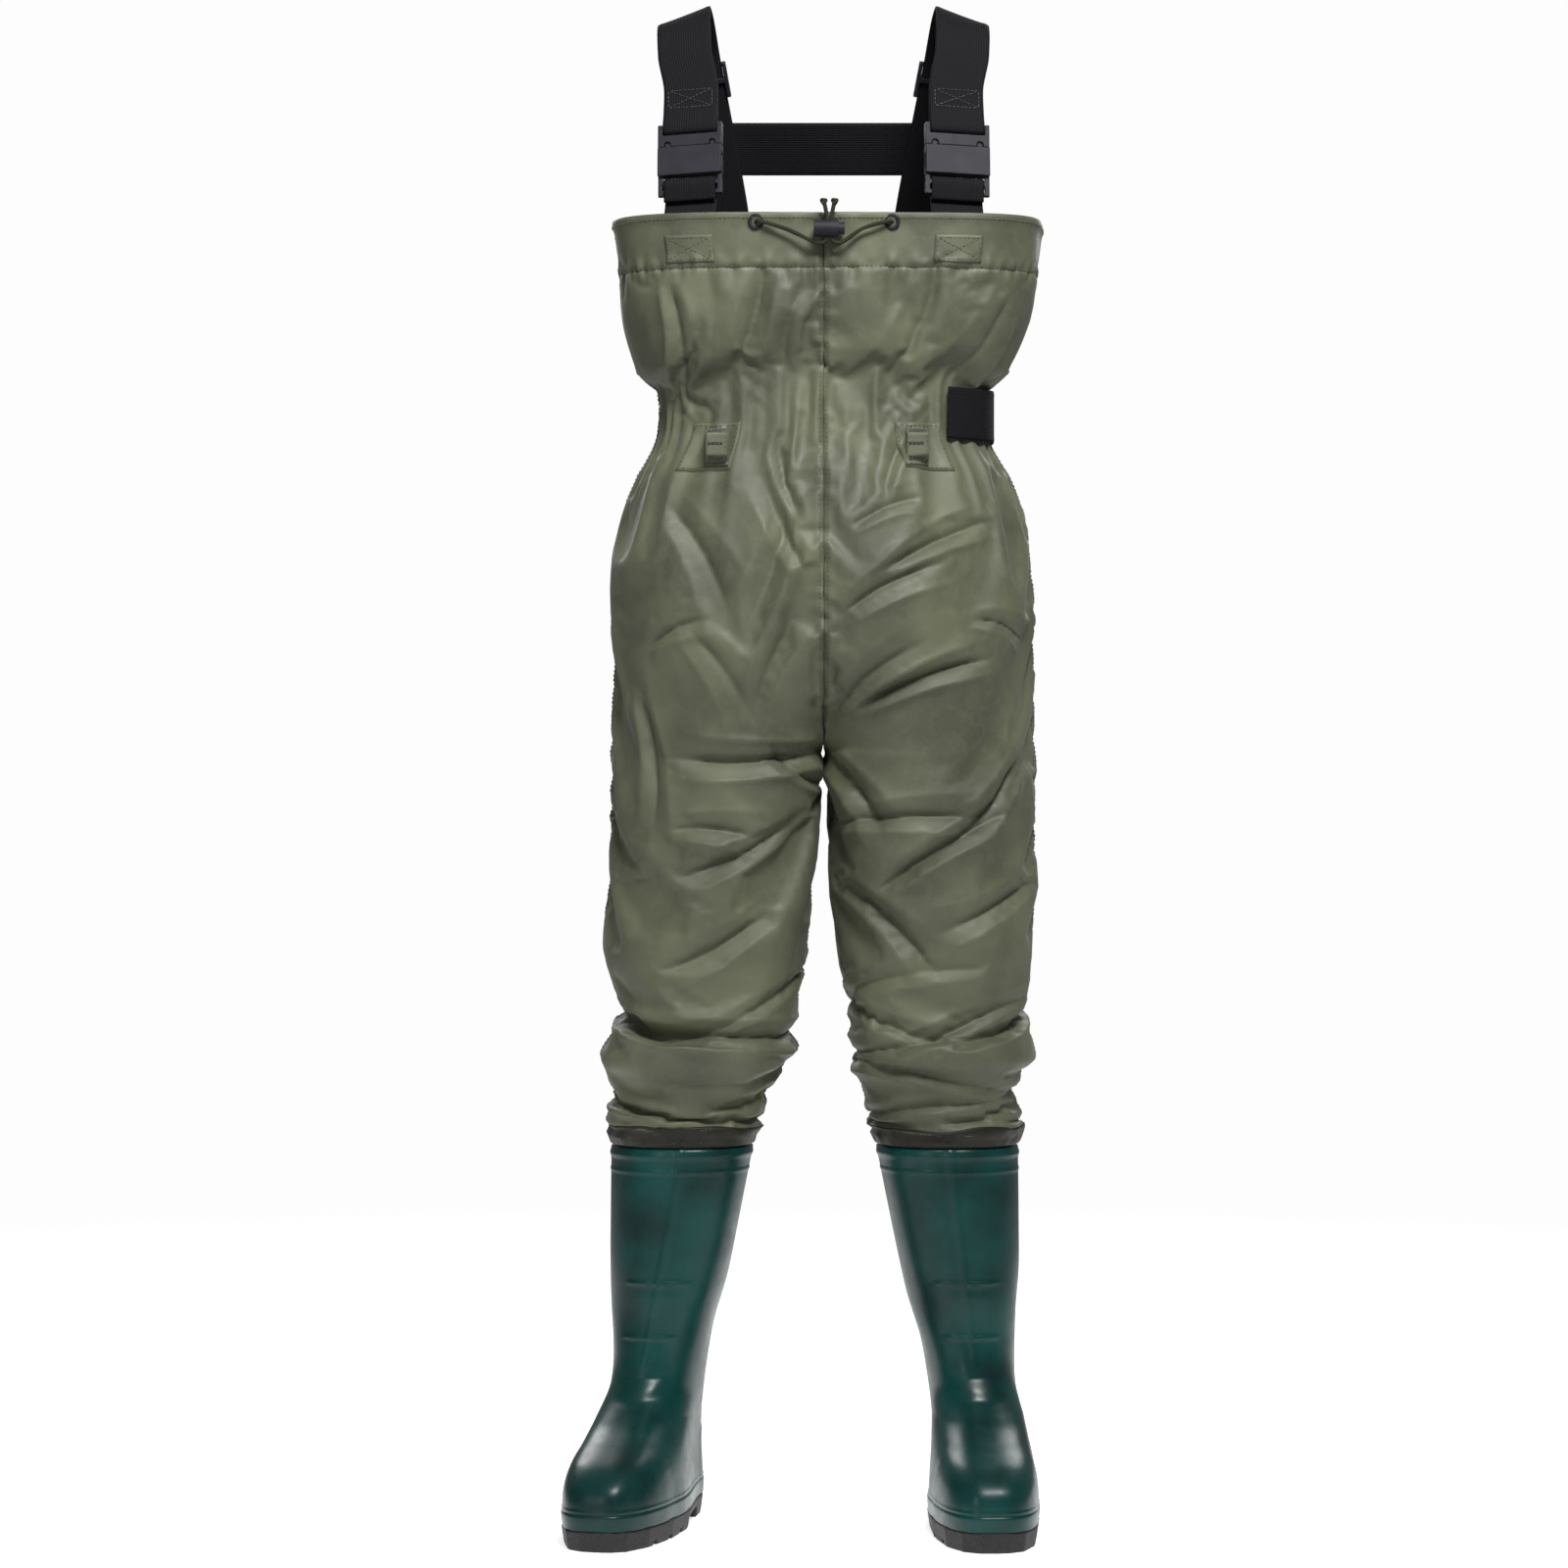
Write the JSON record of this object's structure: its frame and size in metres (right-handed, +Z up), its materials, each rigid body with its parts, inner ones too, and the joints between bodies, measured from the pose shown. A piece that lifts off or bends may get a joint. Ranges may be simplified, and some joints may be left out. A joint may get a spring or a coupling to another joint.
{
  "type": "chest waders",
  "caption": "Chest waders of coated cloth with welded-on boots, webbing suspenders with side-release buckles, a belt and a drawcord at the bib.",
  "frame": {"origin": "centre of the bounding box, on the plane that the soles stand on", "axes": "+Z up; the front faces -Y; the wearer's left is +X"},
  "size_m": [0.473, 0.34, 1.5143],
  "materials": {
    "coated_nylon": "satin coated weave",
    "seam_tape": "semi-gloss",
    "elastic": "ribbed",
    "boot_pvc": "semi-gloss moulded PVC",
    "sole_rubber": "matt moulded",
    "insole_felt": "felt",
    "webbing": "woven",
    "buckle_plastic": "fine grain",
    "cord": "braided",
    "spring_steel": "drawn wire"
  },
  "bodies": {
    "waders": {"anchor_patch_left": "coated_nylon", "anchor_patch_right": "coated_nylon", "back_panel_left": "coated_nylon", "back_panel_right": "coated_nylon", "belt_loop_left": "coated_nylon", "belt_loop_right": "coated_nylon", "boot_left": "boot_pvc", "boot_right": "boot_pvc", "buckle_female_left": "buckle_plastic", "buckle_female_right": "buckle_plastic", "centre_back_tape": "seam_tape", "centre_front_tape": "seam_tape", "cuff_weld_left": "seam_tape", "cuff_weld_right": "seam_tape", "drawcord": "cord", "eyelet_left": "buckle_plastic", "eyelet_right": "buckle_plastic", "front_panel_left": "coated_nylon", "front_panel_right": "coated_nylon", "front_tab_left": "webbing", "front_tab_right": "webbing", "hem_facing": "coated_nylon", "inseam_tape_left": "seam_tape", "inseam_tape_right": "seam_tape", "insole_left": "insole_felt", "insole_right": "insole_felt", "loop_patch_left": "coated_nylon", "loop_patch_right": "coated_nylon", "outsole_left": "sole_rubber", "outsole_right": "sole_rubber", "rear_anchor_left": "webbing", "rear_anchor_right": "webbing", "rear_belt_loop_left": "coated_nylon", "rear_belt_loop_right": "coated_nylon", "side_tape_left": "seam_tape", "side_tape_right": "seam_tape", "waist_belt": "webbing", "waist_elastic": "elastic"},
    "suspenders": {"shoulder_strap_right": "webbing", "shoulder_strap_left": "webbing", "buckle_male_right": "buckle_plastic", "buckle_male_left": "buckle_plastic", "cross_strap": "webbing"},
    "adjuster_right": {"adjuster_right": "buckle_plastic"},
    "adjuster_left": {"adjuster_left": "buckle_plastic"},
    "cord_lock": {"cord_lock_barrel": "buckle_plastic", "cord_lock_spring": "spring_steel"},
    "cord_lock_plunger": {"cord_lock_plunger": "buckle_plastic"},
    "buckle_arm_inner_right": {"buckle_arm_inner_right": "buckle_plastic"},
    "buckle_arm_outer_right": {"buckle_arm_outer_right": "buckle_plastic"},
    "buckle_arm_inner_left": {"buckle_arm_inner_left": "buckle_plastic"},
    "buckle_arm_outer_left": {"buckle_arm_outer_left": "buckle_plastic"}
  },
  "joints": [
    {"name": "suspenders_swing", "type": "hinge", "parent": "waders", "child": "suspenders", "pos_m": [0, 0.1637, 1.296], "axis": [-1, 0, 0], "range_deg": [0, 150], "deforming": ["buckle_arm_inner_right", "buckle_arm_outer_right", "buckle_arm_inner_left", "buckle_arm_outer_left"]},
    {"name": "adjuster_right_slide", "type": "slide", "parent": "suspenders", "child": "adjuster_right", "axis": [0.1697, 0.3943, -0.9031], "range_m": [0, 0.018]},
    {"name": "adjuster_left_slide", "type": "slide", "parent": "suspenders", "child": "adjuster_left", "axis": [-0.1697, 0.3943, -0.9031], "range_m": [0, 0.018]},
    {"name": "buckle_arm_outer_right_squeeze", "type": "hinge", "parent": "suspenders", "child": "buckle_arm_outer_right", "pos_m": [-0.13466, -0.04497, 1.36302], "axis": [-0.2022, -0.9541, 0.221], "range_deg": [0, 12], "stiffness_Nm_per_rad": 0.15, "springref_deg": -5.73},
    {"name": "buckle_arm_inner_right_squeeze", "type": "hinge", "parent": "suspenders", "child": "buckle_arm_inner_right", "pos_m": [-0.09059, -0.05383, 1.36507], "axis": [0.2022, 0.9541, -0.221], "range_deg": [0, 12], "stiffness_Nm_per_rad": 0.15, "springref_deg": -5.73},
    {"name": "buckle_arm_outer_left_squeeze", "type": "hinge", "parent": "suspenders", "child": "buckle_arm_outer_left", "pos_m": [0.17156, -0.04572, 1.3632], "axis": [-0.1679, 0.9604, -0.2225], "range_deg": [0, 12], "stiffness_Nm_per_rad": 0.15, "springref_deg": -5.73},
    {"name": "buckle_arm_inner_left_squeeze", "type": "hinge", "parent": "suspenders", "child": "buckle_arm_inner_left", "pos_m": [0.1272, -0.05308, 1.3649], "axis": [0.1679, -0.9604, 0.2225], "range_deg": [0, 12], "stiffness_Nm_per_rad": 0.15, "springref_deg": -5.73},
    {"name": "cord_lock_slide", "type": "slide", "parent": "waders", "child": "cord_lock", "axis": [0, 0, 1], "range_m": [0, 0.012]},
    {"name": "cord_lock_press", "type": "slide", "parent": "cord_lock", "child": "cord_lock_plunger", "axis": [-1, 0, 0], "range_m": [0, 0.004], "stiffness_N_per_m": 250, "springref_m": -0.003, "deforming": ["cord_lock_spring"]}
  ],
  "couplings": [
    {"joint": "buckle_arm_inner_right_squeeze", "follows": "buckle_arm_outer_right_squeeze", "ratio": 1},
    {"joint": "buckle_arm_inner_left_squeeze", "follows": "buckle_arm_outer_left_squeeze", "ratio": 1}
  ]
}
